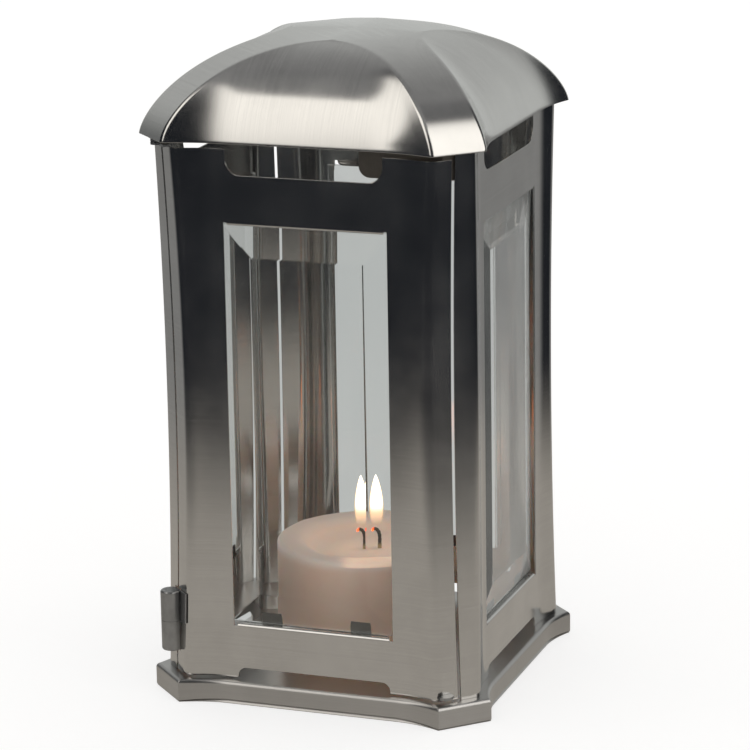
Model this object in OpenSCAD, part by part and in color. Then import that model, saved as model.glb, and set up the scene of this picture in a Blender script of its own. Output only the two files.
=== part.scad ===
// Candle lantern of brushed stainless steel sheet.
// Four waisted panels with bevelled panes stand on a low base tray and carry a domed roof.
// The front panel is a door on a barrel hinge, and a pillar candle stands on the tray.
// Front faces -Y, the tray rests on z = 0, and the vertical axis of the lantern is z.

/* [Plan] */
// Half-width over the protruding corners of the tray and of the eave
outline_half = 80; // [76:0.5:90]
// Distance from the middle line to where each corner is cut off
corner_half = 61.5; // [58:0.5:66]
// Half-width at the middle of a tray side, set in from the corners
side_half = 75; // [72:0.5:78]
// Half-length of the straight stretch of a side, before it sweeps out to the corner
straight_half = 40; // [34:1:44]

/* [Tray] */
// Height of the tray top above the ground
tray_h = 10.4; // [8:0.2:20]
// Sheet thickness of the tray
tray_sheet = 1.2; // [0.8:0.1:2]
// Roundness of the tray's upper rim
tray_round = 1.8; // [1:0.1:2.4]
// Height of the tray wall's lower edge at the corners
tray_lift_corner = 0.6; // [0.3:0.1:1]
// How much higher that edge arches at the middle of a side
tray_arch = 2.2; // [1:0.1:3]
// Height of the upturned rim of the bottom pan
pan_rim_h = 4.2; // [3.5:0.1:6]
// Clearance between the bottom pan and the tray wall
pan_gap = 0.2; // [0.1:0.05:0.5]

/* [Panels] */
// Sheet thickness of the panels
panel_sheet = 0.8; // [0.6:0.1:1.2]
// Half-width of the body at the flat middle of a panel
panel_half = 70.4; // [68:0.2:72]
// Half-width of the body over the corner folds at the waist
fold_half = 73.9; // [73:0.1:75]
// Half-distance between the two corner folds of one panel at the waist
fold_side = 55.5; // [54:0.5:57]
// Height of the waist
waist_z = 137; // [120:1:150]
// Distance above or below the waist at which the two flares below are measured
flare_reach = 100; // [90:5:120]
// How much the folds stand out there, outwards
flare_out = 0.6; // [0:0.1:1.2]
// How much the folds stand out there, sideways
flare_side = 2.5; // [0:0.1:3]
// Width of the slit between neighbouring panels at a corner
corner_slit = 1.5; // [1.2:0.1:2.5]
// Height of the fixed panels' upper edge, inside the roof
panel_top_z = 261.5; // [259:0.5:262]
// Extra height of the corner flanges that carry the roof
flange_rise = 1.6; // [1:0.1:2]

/* [Windows] */
// Width of a window
window_w = 75; // [60:0.5:76]
// Height of the window sill
window_low_z = 36.7; // [30:0.1:50]
// Height of the window head
window_high_z = 218.6; // [200:0.1:230]
// Depth of the bent lips at sill and head
lip_depth = 6.5; // [5.6:0.1:8]
// How far the lips taper in at each end
lip_taper = 5; // [2:0.5:8]

/* [Vents] */
// Width of an upper vent at its mouth
top_vent_w = 72; // [50:1:76]
// Height of the lower edge of an upper vent
top_vent_z = 240.9; // [232:0.1:244]
// Corner radius of an upper vent
top_vent_r = 7; // [3:0.5:8]
// Width of a lower vent
low_vent_w = 72; // [50:1:76]
// Height of a lower vent above the tray
low_vent_h = 5.6; // [5:0.1:9]
// Corner radius of a lower vent
low_vent_r = 4; // [2:0.5:5]

/* [Glass] */
// Thickness of a pane
pane_t = 4; // [3:0.1:4.5]
// Overlap of the pane behind each side of the window
pane_lap = 2; // [1:0.1:3]
// Width of the bevel ground along the pane's edges
bevel_w = 14; // [8:0.5:18]
// Drop of the bevel at the pane's edge
bevel_drop = 2.2; // [1:0.1:2.6]
// Clearance round the pane
pane_gap = 0.2; // [0.1:0.05:0.4]
// Width of a clip that holds the pane
clip_w = 9.5; // [6:0.5:12]
// Distance of the clips from the middle line
clip_x = 21; // [12:0.5:28]
// Height of a clip behind the pane
clip_h = 5; // [4:0.5:10]
// Sheet thickness of a clip
clip_t = 0.8; // [0.5:0.1:1]

/* [Door] */
// Clearance between the door and the tray below it
door_low_gap = 0.8; // [0.5:0.1:1.5]
// Height of the door's upper edge
door_top_z = 252.3; // [248:0.1:253]
// How far the hinge axis stands out from the corner flanges
axis_out = 3.3; // [3.2:0.1:3.8]
// Outer radius of the hinge barrel
barrel_r = 4.4; // [4:0.1:4.6]
// Height of the barrel's lower end
barrel_low_z = 21; // [16:0.5:26]
// Length of the whole barrel
barrel_len = 28; // [20:0.5:36]
// Gap between the two knuckles
knuckle_gap = 0.4; // [0.3:0.05:0.8]
// Radius of the hinge pin
pin_r = 2; // [1.5:0.1:2.5]
// Running clearance of the pin in the door's knuckle
pin_fit = 0.05; // [0.02:0.01:0.1]
// Length of a hinge leaf along the flange
leaf_len = 8.6; // [6:0.2:9]
// Sheet thickness of a hinge leaf
leaf_t = 1; // [0.8:0.1:1.2]
// Radius of the upper pivot pin
pivot_r = 1.2; // [1:0.1:1.5]
// Thickness of the pivot's lug and bracket plates
lug_t = 1; // [0.8:0.1:1.2]
// Width of the door pull
pull_w = 7; // [5:0.5:8]
// Distance of the pull from the corner slit
pull_in = 4; // [2:0.5:5]
// How far the pull stands out from the door
pull_out = 4.5; // [3:0.5:5]
// Thickness of the pull
pull_t = 1.2; // [1:0.1:1.5]
// Height of the pull above the tray
pull_rise = 2.6; // [2:0.1:5]

/* [Door stop] */
// Distance of the stop's free end from the middle line
stop_x = 25; // [20:1:34]
// Height of the stop's lower edge
stop_low_z = 243; // [241:0.5:246]
// Height of the stop strip
stop_h = 14; // [10:0.5:15]
// Sheet thickness of the stop
stop_t = 1; // [0.8:0.1:1.2]
// Clearance between the stop and the sheets beside it
stop_gap = 0.3; // [0.3:0.05:0.6]

/* [Roof] */
// Sheet thickness of the roof
roof_sheet = 0.9; // [0.8:0.05:1]
// Height of the eave
eave_z = 255.5; // [255:0.5:258]
// Rise that the hips would reach at the axis, above the eave
roof_rise = 39.8; // [38:0.2:44]
// Fullness of the hips towards the eave
roof_full = 2.64; // [2.5:0.02:2.8]
// Fullness of the hips towards the crown
roof_crown = 1.48; // [1.44:0.01:1.56]
// Distance from the axis at which the arched side faces end under the crown
face_top_half = 31.5; // [28:0.5:36]
// Width of a side face at the very top of its arch
face_top_w = 4; // [3:0.5:8]
// Rise of the shallow crown above the side faces' upper ends
crown_rise = 0.8; // [0.5:0.1:2]
// Extra set-in of the side faces partway up the roof
face_inset_extra = 0.4; // [0:0.1:3]

/* [Candle] */
// Diameter of the pillar candle
candle_d = 80; // [60:1:84]
// Height of the candle
candle_h = 49.4; // [30:0.5:120]
// Roundness of the candle's upper edge
candle_round = 2; // [1:0.5:3]
// Thickness of the wax rim left round the melt pool
candle_rim = 7; // [4:0.5:12]
// Depth of the melt pool
pool_depth = 7; // [3:0.5:12]
// Diameter of the wick
wick_d = 1.6; // [1.5:0.1:3]
// Length of the wick above the pool
wick_h = 11; // [5:0.5:14]
// How far the wick's tip is bent over, in degrees
wick_bend = 70; // [0:5:80]
// Gap under the candle and at other loose seats
loose_gap = 0.2; // [0.1:0.05:0.3]

/* [Hidden] */
$fn = 48;

steel = [0.62, 0.61, 0.59];
dark_steel = [0.42, 0.41, 0.40];
glass = [0.75, 0.82, 0.82, 0.35];
wax = [0.80, 0.66, 0.52];

eps = 0.01;
root2 = sqrt(2);
flare_points = 6;           // points along the swept end of a side
proud = 0.1;                // clearance between a fitting and the sheet that carries it
roof_room = 2.7;            // height under the roof from which the flanges rise
face_flat = 0.55;           // share of a roof side's width that is straight
inset_peak = 27 / 4;        // brings f * f * (1 - f) to a peak of 1
steep = 50;                 // slope taken for the upright sheet at the eave
pool_round = 3;             // radius at the foot of the melt pool's wall
pool_lean = 2;              // how far that wall leans out
wick_stem = 0.8;            // share of the wick that stands upright

// Corner folds of the panels at height z: [half-distance between folds, half-width over folds]
function up(z) = pow((z - waist_z) / flare_reach, 2);
function fold_x(z) = fold_side + flare_side * up(z);
function fold_y(z) = fold_half + flare_out * up(z);
// Distance of the corner flanges' outer faces from the axis, along the diagonal
function flange_s(z) = (fold_x(z) + fold_y(z)) / root2;

// Sweep from 0 at the end of the straight stretch to 1 at the corner
function sweep(x, from, to) = x <= from ? 0 : pow((x - from) / (to - from), 2);

// One side of a square outline with swept ends, facing -Y, from its left corner to its right one
function side_points(mid, out, corner, straight) =
    let (n = flare_points,
         xs = [for (i = [0:n]) corner - (corner - straight) * i / n])
    concat(
        [for (x = xs) [-x, -(mid + (out - mid) * sweep(x, straight, corner))]],
        [for (i = [n:-1:0]) let (x = xs[i]) [x, -(mid + (out - mid) * sweep(x, straight, corner))]]);

function turn(p, a) = [p[0] * cos(a) - p[1] * sin(a), p[0] * sin(a) + p[1] * cos(a)];
// Whole outline, moved inwards by inset
function outline(inset = 0, mid = side_half, out = outline_half, corner = corner_half) =
    let (k = inset * (root2 - 1),
         one = side_points(mid - inset, out - inset, corner - k, straight_half))
    [for (a = [0:90:270]) each [for (p = one) turn(p, a)]];

// Closed skin through rings of equal length. The first ring is closed by faces that look down
// and the last by faces that look up, so a shell starts inside, at its ceiling. Ends are "flat",
// or "strip" where a ring runs out along one line and back along another, or they run to tips.
module loft(rings, ends = "flat", tips = []) {
    n = len(rings[0]);
    m = len(rings);
    last = (m - 1) * n;
    low = ends == "strip"
        ? [for (i = [0:n / 2 - 2]) each [[i, i + 1, n - 2 - i], [i, n - 2 - i, n - 1 - i]]]
        : ends == "tips" ? [for (i = [0:n - 1]) [i, (i + 1) % n, n * m]]
        : [[for (i = [0:n - 1]) i]];
    high = [for (f = low) [for (k = [len(f) - 1:-1:0]) f[k] == n * m ? n * m + 1 : f[k] + last]];
    polyhedron(
        points = concat([for (r = rings) each r], tips),
        faces = concat(
            low, high,
            [for (j = [0:m - 2], i = [0:n - 1])
                each [[j * n + i, (j + 1) * n + i, j * n + (i + 1) % n],
                      [j * n + (i + 1) % n, (j + 1) * n + i, (j + 1) * n + (i + 1) % n]]]),
        convexity = 10);
}
function lift(points, z) = [for (p = points) [p[0], p[1], z]];

// ---------------------------------------------------------------- tray

// Lower edge of the tray wall, arched between the corners
function arch_z(x) =
    tray_lift_corner + tray_arch * max(0, 1 - pow(abs(x) / corner_half, 2));
function wall_foot(inset) =
    let (k = inset * (root2 - 1),
         one = side_points(side_half - inset, outline_half - inset, corner_half - k, straight_half))
    [for (a = [0:90:270]) each [for (p = one) let (q = turn(p, a)) [q[0], q[1], arch_z(p[0])]]];

module base_tray() {
    round_steps = 4;
    color(steel) loft(concat(
        [lift(outline(tray_sheet), tray_h - tray_sheet), wall_foot(tray_sheet), wall_foot(0)],
        [for (i = [0:round_steps])
            let (a = 90 * i / round_steps)
            lift(outline(tray_round * (1 - cos(a))), tray_h - tray_round * (1 - sin(a)))]));
}

module bottom_pan() {
    edge = tray_sheet + pan_gap;
    color(steel) {
        linear_extrude(tray_sheet) polygon(outline(edge));
        linear_extrude(pan_rim_h) difference() {
            polygon(outline(edge));
            polygon(outline(edge + tray_sheet));
        }
    }
}

// ---------------------------------------------------------------- panels

// Outer line of a panel at height z in plan, facing -Y, from flange end to flange end
function panel_line(z) =
    let (q = fold_x(z), p = fold_y(z), m = (p + q) / 2, g = corner_slit / 2 / root2,
         half = concat([[m - g, -(m + g)]],
                       [for (i = [0:flare_points])
                           let (x = q - (q - straight_half) * i / flare_points)
                           [x, -(panel_half + (p - panel_half) * sweep(x, straight_half, q))]]))
    concat([for (v = half) [-v[0], v[1]]],
           [for (i = [len(half) - 1:-1:0]) half[i]]);

function unit(v) = v / norm(v);
// Point i of a line, moved by t to its left, mitred at the bends
function offset_point(line, i, t) =
    let (n = len(line),
         a = unit(line[min(i + 1, n - 1)] - line[min(i, n - 2)]),
         b = unit(line[max(i, 1)] - line[max(i - 1, 0)]),
         na = [-a[1], a[0]], nb = [-b[1], b[0]], s = na + nb)
    line[i] + s * t / (1 + na * nb);
function ribbon(line, t) =
    concat(line, [for (i = [len(line) - 1:-1:0]) offset_point(line, i, t)]);

// Bent sheet of one panel between two heights
module panel_sheet_body(low, high) {
    steps = 8;
    loft([for (i = [0:steps])
        let (z = low + (high - low) * i / steps) lift(ribbon(panel_line(z), panel_sheet), z)],
        "strip");
}

// Upright rectangle with two rounded corners, cut through the front panel
module notch(width, low, high, radius, round_low) {
    depth = 3 * panel_sheet;
    z_round = round_low ? low + radius : high - radius;
    translate([0, -panel_half + depth / 2, 0]) rotate([90, 0, 0]) linear_extrude(depth) union() {
        for (s = [-1, 1]) translate([s * (width / 2 - radius), z_round]) circle(radius);
        translate([-width / 2 + radius, low]) square([width - 2 * radius, high - low]);
        translate([-width / 2, round_low ? low + radius : low])
            square([width, high - low - radius]);
    }
}

module window_hole() {
    translate([-window_w / 2, -panel_half - panel_sheet, window_low_z])
        cube([window_w, 3 * panel_sheet, window_high_z - window_low_z]);
}

// Lips bent inwards along the sill and the head of the window, with tapered ends
module window_lips() {
    y = -panel_half + panel_sheet / 2;
    for (z = [window_low_z - panel_sheet, window_high_z])
        translate([0, 0, z]) linear_extrude(panel_sheet)
            polygon([[-window_w / 2, y], [window_w / 2, y],
                     [window_w / 2 - lip_taper, y + lip_depth],
                     [-window_w / 2 + lip_taper, y + lip_depth]]);
}

module panel(low, high) {
    color(steel) {
        difference() {
            panel_sheet_body(low, high);
            window_hole();
            notch(top_vent_w, top_vent_z, high + top_vent_r + 1, top_vent_r, true);
            notch(low_vent_w, low - low_vent_r - 1, tray_h + low_vent_h, low_vent_r, false);
        }
        window_lips();
    }
}

// Height of the flanges' upper edges, which follow the roof wherever it stands higher
function flange_top_z() =
    max(panel_top_z, ceiling_z(flange_s(panel_top_z)) - roof_room) + flange_rise;

// Fixed panel: its corner flanges rise above its upper edge to carry the roof
module fixed_panel() {
    rise_from = fold_side - panel_sheet;
    color(steel) difference() {
        panel(tray_h, flange_top_z());
        translate([-rise_from, -outline_half, panel_top_z])
            cube([2 * rise_from, outline_half, flange_top_z()]);
    }
}

// Room that a turning knuckle needs beside a flange
module knuckle_room() {
    translate([-axis_at(), -axis_at(), barrel_low_z - knuckle_gap])
        cylinder(r = barrel_r + knuckle_gap, h = barrel_len + 2 * knuckle_gap);
}

module back_panel() rotate(180) fixed_panel();
module left_panel() color(steel) difference() {
    rotate(-90) fixed_panel();
    knuckle_room();
}
module right_panel() rotate(90) fixed_panel();
module front_door() color(steel) difference() {
    panel(tray_h + door_low_gap, door_top_z);
    knuckle_room();
}

// ---------------------------------------------------------------- glass

pane_w = window_w + 2 * pane_lap;
pane_low_z = window_low_z + pane_gap;
pane_high_z = window_high_z - pane_gap;
pane_front = panel_half - panel_sheet - pane_gap;      // outer face of the pane at its bevel's foot
pane_back = pane_front - pane_t;

// Bevelled pane that faces -Y, its bevelled face outwards
module pane() {
    inner_w = pane_w - 2 * bevel_w;
    edge_y = -(pane_front - bevel_drop);
    function frame(w, low, high, y) =
        [[-w / 2, y, low], [w / 2, y, low], [w / 2, y, high], [-w / 2, y, high]];
    color(glass) loft([
        frame(pane_w, pane_low_z, pane_high_z, -pane_back),
        frame(pane_w, pane_low_z, pane_high_z, edge_y),
        frame(inner_w, pane_low_z + bevel_w, pane_high_z - bevel_w, -pane_front)]);
}

// Two small tabs on the sill lip, behind the pane
module pane_clips() color(dark_steel) for (s = [-1, 1])
    translate([s * clip_x - clip_w / 2, -pane_back + pane_gap, window_low_z + eps])
        cube([clip_w, clip_t, clip_h]);

module back_pane() rotate(180) pane();
module left_pane() rotate(-90) pane();
module right_pane() rotate(90) pane();
module door_pane() pane();
module back_pane_clips() rotate(180) pane_clips();
module left_pane_clips() rotate(-90) pane_clips();
module right_pane_clips() rotate(90) pane_clips();
module door_pane_clips() pane_clips();

// ---------------------------------------------------------------- hinge, pivot, pull and stop

// Height at the middle of the hinge barrel, where its offset from the flanges is taken
barrel_mid_z = barrel_low_z + barrel_len / 2;
leaf_end = leaf_len + leaf_t;              // distance of a leaf's end from the axis
function axis_s() = flange_s(barrel_mid_z) + axis_out;
function axis_at() = axis_s() / root2;

// Moves children to the hinge axis, with +X along the diagonal outwards and +Y to the door
module at_axis(z = 0) translate([-axis_at(), -axis_at(), z]) rotate(-135) children();

// One knuckle with the leaf that joins it to a flange; side is 1 for the door and -1 for the frame
module knuckle(low, high, side) {
    face = flange_s(low) - axis_s() + proud;
    color(dark_steel) at_axis(low) difference() {
        union() {
            cylinder(r = barrel_r, h = high - low);
            translate([face, side > 0 ? 0 : -leaf_end, 0])
                cube([leaf_t, leaf_end, high - low]);
        }
        translate([0, 0, -1]) cylinder(r = pin_r + pin_fit, h = high - low + 2);
    }
}

module hinge_frame_knuckle() knuckle(barrel_low_z, barrel_mid_z - knuckle_gap / 2, -1);
module hinge_door_knuckle() knuckle(barrel_mid_z + knuckle_gap / 2, barrel_low_z + barrel_len, 1);
module hinge_pin() color(dark_steel) at_axis(barrel_low_z) cylinder(r = pin_r, h = barrel_len);

lug_r = 2 * pivot_r;                       // half-width of the pivot plates round the pin
lug_z = door_top_z + loose_gap;            // the door's lug lies on the flange's upper edge
bracket_z = lug_z + lug_t + knuckle_gap;   // the frame's bracket lies above the lug

// Flat plate with the pivot hole and an arm along a corner flange, from distance x on the
// diagonal; side is 1 for the door and -1 for the frame
module pivot_plate(side, x) {
    start = side > 0 ? corner_slit / 2 : -leaf_len;
    linear_extrude(lug_t) difference() {
        union() {
            circle(lug_r);
            translate([x, start]) square([-x, leaf_len - corner_slit / 2]);
        }
        circle(pivot_r + pin_fit);
    }
}

module door_pivot_lug() color(dark_steel) at_axis(lug_z)
    pivot_plate(1, flange_s(door_top_z) - panel_sheet - axis_s());
module pivot_bracket() color(dark_steel) at_axis(bracket_z)
    pivot_plate(-1, flange_s(bracket_z + lug_t) + proud - axis_s());
module pivot_pin() color(dark_steel) at_axis(lug_z) cylinder(r = pivot_r, h = bracket_z + lug_t - lug_z);

// Rounded tab at the foot of the door's free flange
module door_pull() {
    z = tray_h + pull_rise;
    color(dark_steel) rotate(-45) translate([flange_s(z) + proud, -pull_in - pull_w, z])
        linear_extrude(pull_t) union() {
            square([pull_out - pull_w / 4, pull_w]);
            intersection() {
                translate([pull_out - pull_w / 2, pull_w / 2]) circle(pull_w / 2);
                square([pull_out, pull_w]);
            }
        }
}

// Bent strip behind the door's upper corner, which the closed door rests against
module door_stop() {
    y = -(panel_half - panel_sheet - stop_gap);
    s = flange_s(stop_low_z) - panel_sheet - stop_gap;     // beside the right panel's flange
    bend = [s * root2 + y, y];
    end = [s / root2 + corner_slit * 2, -(s / root2 - corner_slit * 2)];
    line = [[stop_x, y], bend, end];
    color(dark_steel) translate([0, 0, stop_low_z])
        linear_extrude(stop_h) polygon(ribbon(line, stop_t));
}

// ---------------------------------------------------------------- roof

// Profile of a hip: height above the eave at distance s along the diagonal, and its slope
eave_s = (outline_half + corner_half) / root2;
function hip_h(s) = roof_rise * pow(max(0, 1 - pow(s / eave_s, roof_full)), 1 / roof_crown);
function hip_slope(s) = (hip_h(s) - hip_h(s - 0.5)) / 0.5;

// Height of the roof's inner face at distance s along the diagonal
function ceiling_z(s) = eave_z + hip_h(s) - roof_sheet * sqrt(1 + pow(hip_slope(s), 2));

// Distance from the axis of a side face's two creases, where they are c from the middle line
function crease_out(c) =
    sqrt(pow(face_top_half, 2)
         + (pow(outline_half, 2) - pow(face_top_half, 2)) * pow(c / corner_half, 2));
crown_c = face_top_w / 2;
crown_s = (crown_c + crease_out(crown_c)) / root2;

// Set-in of a side face between its creases, from its top (f = 0) to the eave (f = 1)
function face_inset(f) =
    f * f * (outline_half - side_half + inset_peak * face_inset_extra * (1 - f));

// Ring of the roof through its creases, with its side faces set in
function roof_ring(c, out, z, inset) =
    let (n = flare_points,
         half = [for (i = [0:n]) let (u = 1 - (1 - face_flat) * i / n)
             [u * c, out - inset * (1 - pow((u - face_flat) / (1 - face_flat), 2))]],
         one = concat([for (v = half) [-v[0], -v[1]]],
                      [for (i = [n:-1:0]) [half[i][0], -half[i][1]]]))
    [for (a = [0:90:270]) each [for (p = one) let (q = turn(p, a)) [q[0], q[1], z]]];

// Height of the crown at a fraction f of its half-width
function crown_z(f) = eave_z + hip_h(crown_s) + crown_rise * (1 - f * f);

// Rings from the eave to the face tops, then over the crown, moved inwards by t
function roof_rings(t) =
    let (levels = 14, domes = 3)
    concat(
        [for (i = [levels:-1:0])
            let (c = crown_c + (corner_half - crown_c) * sin(90 * i / levels),
                 out = crease_out(c),
                 s = (c + out) / root2,
                 g = i == levels ? -steep : hip_slope(s),
                 k = sqrt(1 + g * g),
                 d = -t * g / k)
            roof_ring(c - d * (root2 - 1), out - d, max(eave_z, eave_z + hip_h(s) - t / k),
                      face_inset(c / corner_half))],
        [for (i = [1:domes])
            let (f = 1 - i / (domes + 1))
            [for (p = roof_ring(crown_c, crease_out(crown_c), 0, 0))
                [p[0] * f, p[1] * f, crown_z(f) - t]]]);

module roof() {
    inner = roof_rings(roof_sheet);
    color(steel) loft(
        concat([for (i = [len(inner) - 1:-1:0]) inner[i]], roof_rings(0)),
        "tips", [[0, 0, crown_z(0) - roof_sheet], [0, 0, crown_z(0)]]);
}

// ---------------------------------------------------------------- candle

candle_z = tray_h + loose_gap;

module candle() {
    r = candle_d / 2;
    pool_r = r - candle_rim;
    pool_z = candle_h - pool_depth;
    color(wax) translate([0, 0, candle_z]) rotate_extrude($fn = 96) difference() {
        union() {
            square([r, candle_h - candle_round]);
            square([r - candle_round, candle_h]);
            translate([r - candle_round, candle_h - candle_round]) circle(candle_round);
        }
        polygon([[-1, candle_h + 1], [-1, pool_z], [pool_r - pool_round, pool_z],
                 [pool_r, pool_z + pool_round], [pool_r + pool_lean, candle_h + 1]]);
        translate([-r, -1]) square([r, candle_h + 2]);
    }
}

module wick() {
    stem = wick_h * wick_stem;
    z = candle_z + candle_h - pool_depth + eps;
    color([0.12, 0.10, 0.09]) translate([0, 0, z]) {
        cylinder(d = wick_d, h = stem, $fn = 24);
        translate([0, 0, stem]) sphere(d = wick_d, $fn = 24);
        translate([0, 0, stem]) rotate([0, -wick_bend, 0])
            cylinder(d = wick_d, h = wick_h - stem, $fn = 24);
    }
}

base_tray();
bottom_pan();
back_panel();
left_panel();
right_panel();
front_door();
back_pane();
left_pane();
right_pane();
door_pane();
back_pane_clips();
left_pane_clips();
right_pane_clips();
door_pane_clips();
roof();
hinge_frame_knuckle();
hinge_door_knuckle();
hinge_pin();
pivot_bracket();
pivot_pin();
door_pivot_lug();
door_pull();
door_stop();
candle();
wick();
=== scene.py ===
"""Candle lantern of brushed stainless steel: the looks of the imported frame.

Lengths are in millimetres until a mesh is made. The lantern faces -Y and stands on z = 0.
"""

import math

import bpy
from mathutils import Matrix, Vector, noise


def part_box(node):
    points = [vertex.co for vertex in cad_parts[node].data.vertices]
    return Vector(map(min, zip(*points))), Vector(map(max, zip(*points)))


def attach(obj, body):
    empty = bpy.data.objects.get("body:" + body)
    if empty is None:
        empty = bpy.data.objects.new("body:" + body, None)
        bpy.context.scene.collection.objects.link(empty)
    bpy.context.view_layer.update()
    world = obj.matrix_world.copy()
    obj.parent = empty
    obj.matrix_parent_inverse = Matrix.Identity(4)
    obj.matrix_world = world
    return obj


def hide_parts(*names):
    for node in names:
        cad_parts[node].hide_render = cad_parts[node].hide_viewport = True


MM = 0.001
ROOT2 = math.sqrt(2)

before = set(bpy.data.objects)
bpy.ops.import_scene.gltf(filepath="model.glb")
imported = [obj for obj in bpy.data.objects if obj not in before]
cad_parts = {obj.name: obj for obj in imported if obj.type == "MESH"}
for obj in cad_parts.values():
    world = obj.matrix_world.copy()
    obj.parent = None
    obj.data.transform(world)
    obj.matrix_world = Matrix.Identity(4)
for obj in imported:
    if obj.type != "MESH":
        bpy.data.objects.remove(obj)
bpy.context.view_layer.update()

# ---------------------------------------------------------------- sizes, as in the part

TRAY_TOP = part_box("base_tray")[1].z / MM
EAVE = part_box("roof")[0].z / MM
OUTLINE_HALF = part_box("roof")[1].x / MM      # over the protruding corners
CORNER_HALF = 61.5                           # to where each corner is cut off
SIDE_HALF = 75.0                             # at the middle of a side
STRAIGHT_HALF = 40.0                         # straight stretch of a side

TRAY_SHEET = 1.2
TRAY_ROUND = 1.8
TRAY_LIFT = 0.6
TRAY_ARCH = 2.2
PAN_GAP = 0.2                                # between the pan and the tray's wall
PAN_RIM = 4.2                                # height of the pan's upturned rim

PANEL_SHEET = 0.8
PANEL_HALF = 70.4
FOLD_HALF = 73.9
FOLD_SIDE = 55.5
WAIST = 137.0
FLARE_OUT = 0.6
FLARE_SIDE = 2.5
FLARE_REACH = 100.0
SLIT = 1.5
TINY = 0.002                                 # how close two measures count as the same
FOLD_ROUND = 4.2                             # length of a fold's rounding along each side

WINDOW_HALF = 37.5
WINDOW_LOW = 36.7
WINDOW_HIGH = 218.6
LIP_DEPTH = 6.9
LIP_TAPER = 5.0
LIP_BEND = 1.2                               # outer radius of the bend from sheet to lip

VENT_HALF = 36.0
TOP_VENT_LOW = 240.9
TOP_VENT_ROUND = 7.0
LOW_VENT_HIGH = TRAY_TOP + 5.6
LOW_VENT_ROUND = 4.0

DOOR_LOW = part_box("front_door")[0].z / MM
DOOR_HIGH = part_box("front_door")[1].z / MM
PANEL_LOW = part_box("back_panel")[0].z / MM
PANEL_HIGH = 261.5
TAB_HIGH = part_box("back_panel")[1].z / MM
TAB_FROM = FOLD_SIDE - 1

PANE_EDGE = 0.25                             # small flat along a pane's ground edges
BEVEL_W = 14.0
BEVEL_DROP = 2.2

HINGE_AXIS = Vector((-68.6461, -68.6461, 0))
BARREL_R = 4.55
BARREL_ROOM = 4.8                            # radius of the room cut for the barrel
BARREL_MIDDLE = 35.0
NOTCH_END = 0.4                              # room for the barrel past each of its ends
PIN_BORE = 2.05
JOINT_CLOSE = 0.15                           # how far each knuckle reaches into their gap
LEAF_T = 0.6
LEAF_FROM = 1.5                              # from the hinge's axis, along the flange
LEAF_TO = 10.0
STOP_GAP = 0.3
STOP_T = 1.0

ROOF_SHEET = 0.9
ROOF_RISE = 39.8
ROOF_FULL = 2.64
ROOF_CROWN = 1.48
EAVE_SLOPE = -50.0                           # the hips come down almost upright at the eave
FACE_TOP_HALF = 31.5
FACE_TOP_W = 4.0
FACE_FLAT = 0.55                             # share of a side face's width that is straight
FACE_INSET_EXTRA = 0.4
INSET_PEAK = 27 / 4                          # brings f * f * (1 - f) to a peak of 1
CREASE_ROUND = 1.6                           # length of a crease's rounding to each side

CANDLE_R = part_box("candle")[1].x / MM
CANDLE_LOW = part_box("candle")[0].z / MM
CANDLE_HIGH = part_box("candle")[1].z / MM
WICK_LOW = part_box("wick")[0].z / MM
POOL_R = 26.0
POOL_DEPTH = 7.0
THIN_RIM = (0.012, -0.033, CANDLE_HIGH * MM) # where the flame shines through, in metres
FLAME_LOW = 62.5
FLAME_HIGH = 89.0
FLAME_R = 3.2
FLAME_PEAK = 0.4207                          # greatest value of t ** 0.5 * (1 - t) ** 0.8


# ---------------------------------------------------------------- shader nodes

def add_node(tree, kind, inputs=None, **settings):
    """A shader node with its settings and inputs.

    An input is a value, a socket to link, or a node that is linked by its first output.
    """
    made = tree.nodes.new(kind)
    for key, value in settings.items():
        setattr(made, key, value)
    for key, value in (inputs or {}).items():
        socket = made.inputs[key]
        if isinstance(value, bpy.types.Node):
            value = value.outputs[0]
        if isinstance(value, bpy.types.NodeSocket):
            tree.links.new(value, socket)
        elif socket.type == "RGBA":
            socket.default_value = (*value, 1.0)
        else:
            socket.default_value = value
    return made


def calc(tree, operation, *values):
    """One maths operation."""
    return add_node(tree, "ShaderNodeMath", dict(enumerate(values)), operation=operation)


def ramp(tree, value, low, high, out_low=0.0, out_high=1.0, kind="SMOOTHSTEP"):
    """Change from out_low to out_high while value goes from low to high."""
    return add_node(tree, "ShaderNodeMapRange", {
        "Value": value, "From Min": low, "From Max": high,
        "To Min": out_low, "To Max": out_high}, interpolation_type=kind)


def between(tree, value, low, high, soft):
    """1 where value lies from low to high, with soft ends."""
    rise = ramp(tree, value, low - soft, low + soft)
    fall = ramp(tree, value, high - soft, high + soft, 1.0, 0.0)
    return calc(tree, "MULTIPLY", rise, fall)


def mix_colour(tree, share, first, second):
    """The first colour where share is 0, and the second one where it is 1."""
    made = add_node(tree, "ShaderNodeMix", {0: share, 6: first, 7: second}, data_type="RGBA")
    return made.outputs[2]


def object_place(tree):
    """Where a point is on its piece, in metres, and its x, y and z."""
    where = add_node(tree, "ShaderNodeTexCoord").outputs["Object"]
    return where, *add_node(tree, "ShaderNodeSeparateXYZ", {0: where}).outputs


def grey(value):
    return value, value, value


def new_material(name):
    made = bpy.data.materials.new(name)
    made.use_nodes = True
    made.node_tree.nodes.clear()
    return made, made.node_tree


def finish_material(tree, shader):
    add_node(tree, "ShaderNodeOutputMaterial", {"Surface": shader})


def stretched_noise(tree, where, scale, detail=3.0, rough=0.6):
    """Noise whose grains are stretched by the scale given for each axis, per metre."""
    placed = add_node(tree, "ShaderNodeVectorMath", {0: where, 1: scale}, operation="MULTIPLY")
    return add_node(tree, "ShaderNodeTexNoise", {
        "Vector": placed, "Scale": 1.0, "Detail": detail, "Roughness": rough})


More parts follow.
